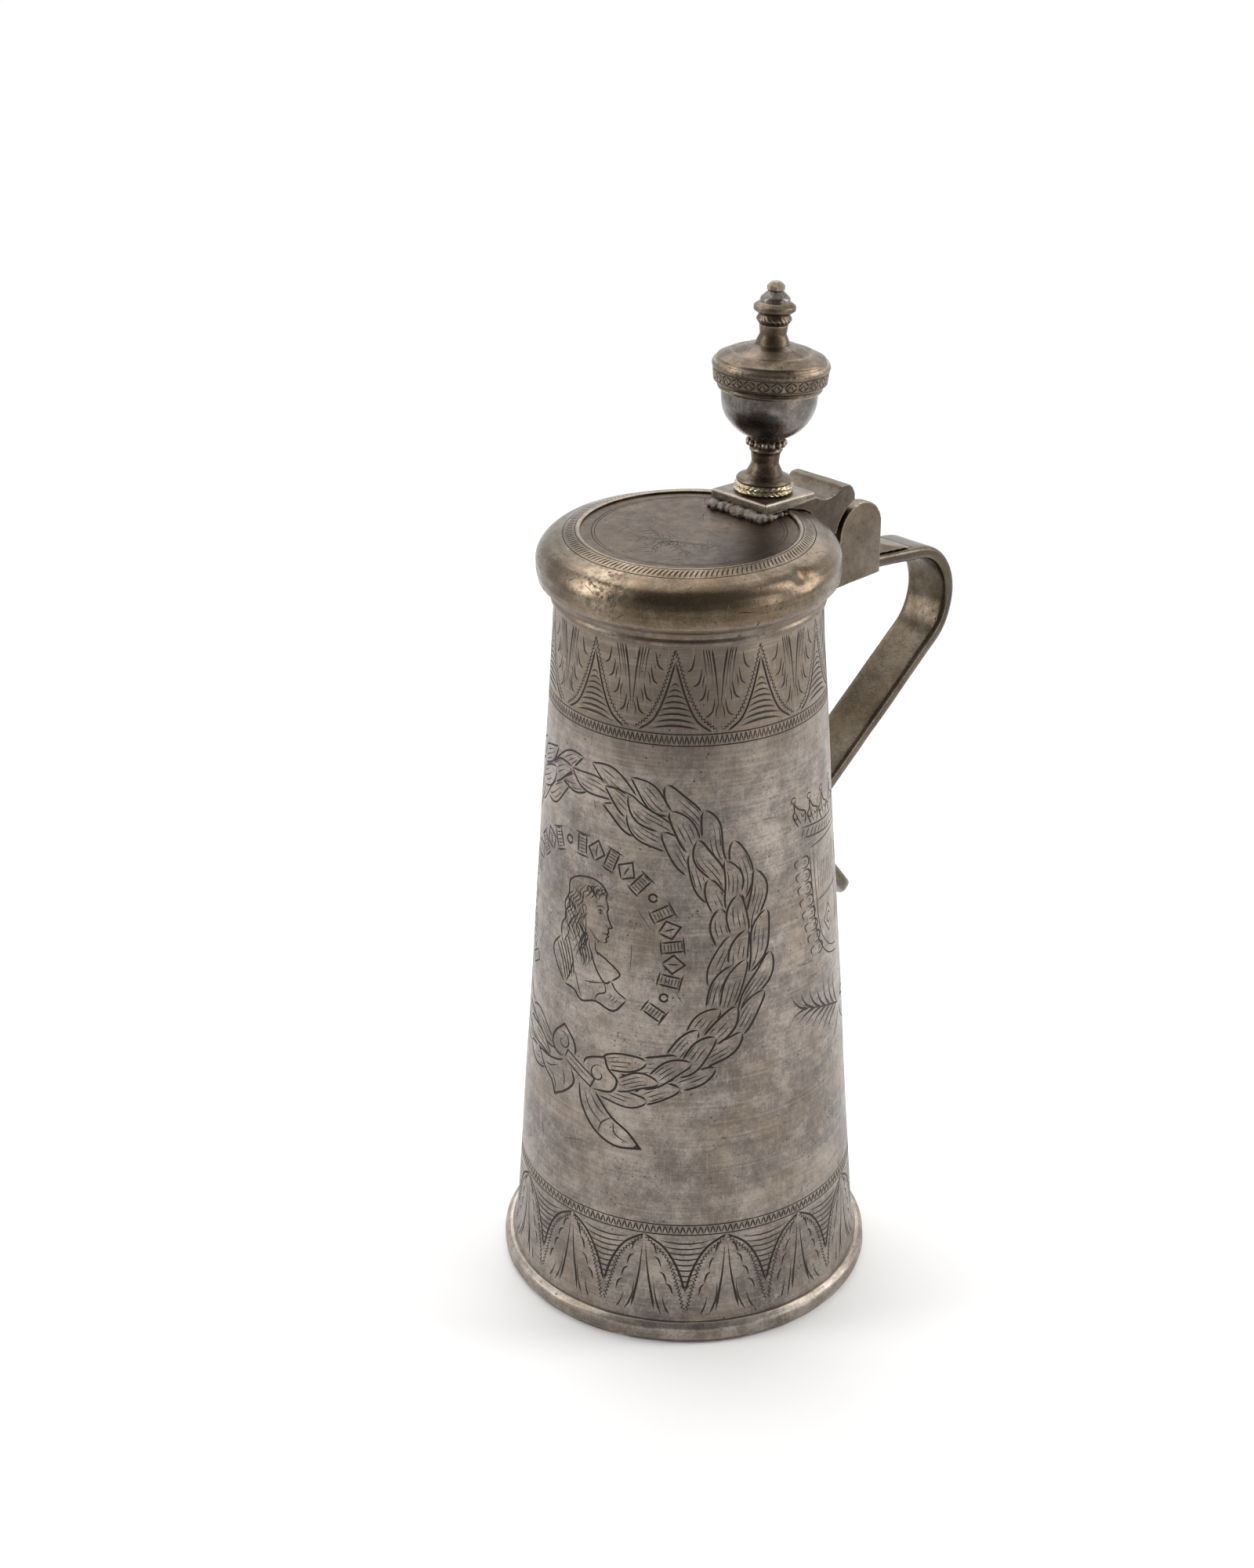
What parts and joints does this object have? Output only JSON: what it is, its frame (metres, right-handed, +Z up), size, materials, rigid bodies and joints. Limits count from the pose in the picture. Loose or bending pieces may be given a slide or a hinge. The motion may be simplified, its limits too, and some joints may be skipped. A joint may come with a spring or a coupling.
{
  "type": "lidded tankard",
  "caption": "Tapered lidded tankard with a strap handle, a hinged lid that opens on a pin, and an urn-shaped thumbpiece.",
  "frame": {"origin": "centre of the flat underside, on the drum's axis", "axes": "+Z up along the drum's axis, +X towards the handle, +Y along the hinge pin"},
  "size_m": [0.1562, 0.1052, 0.2794],
  "materials": {
    "pewter_body": "aged grey pewter, satin, fine scratches",
    "pewter_lid": "aged pewter with brown patina",
    "pewter_handle": "handled pewter, worn brighter on the edges",
    "pewter_urn": "dark cast pewter, satin",
    "polished_ring": "polished yellowish ring",
    "solder": "rough grey solder",
    "pin_metal": "plain pin"
  },
  "bodies": {
    "tankard": {"body_drum": "pewter_body", "base_disc": "pewter_body", "foot_rim": "pewter_body", "mouth_collar": "pewter_body", "handle_strap": "pewter_handle", "handle_boss": "solder", "hinge_bracket": "pewter_handle", "hinge_pin": "pin_metal"},
    "lid": {"lid_rim": "pewter_lid", "lid_plate": "pewter_lid", "lid_flange": "pewter_lid", "lid_tang": "pewter_lid", "thumb_plinth": "pewter_urn", "solder_bead": "solder", "urn_base_ring": "polished_ring", "urn_foot": "pewter_urn", "urn_collar": "pewter_urn", "urn_bowl": "pewter_urn", "urn_rim_band": "pewter_urn", "urn_cover": "pewter_urn", "urn_knob_ring": "pewter_urn", "urn_knob": "pewter_urn", "urn_nub": "pewter_urn", "urn_tie_rod": "pin_metal"}
  },
  "joints": [
    {"name": "lid_hinge", "type": "hinge", "parent": "tankard", "child": "lid", "pos_m": [0.0584, 0, 0.2062], "axis": [0, 1, 0], "range_deg": [0, 120]}
  ]
}
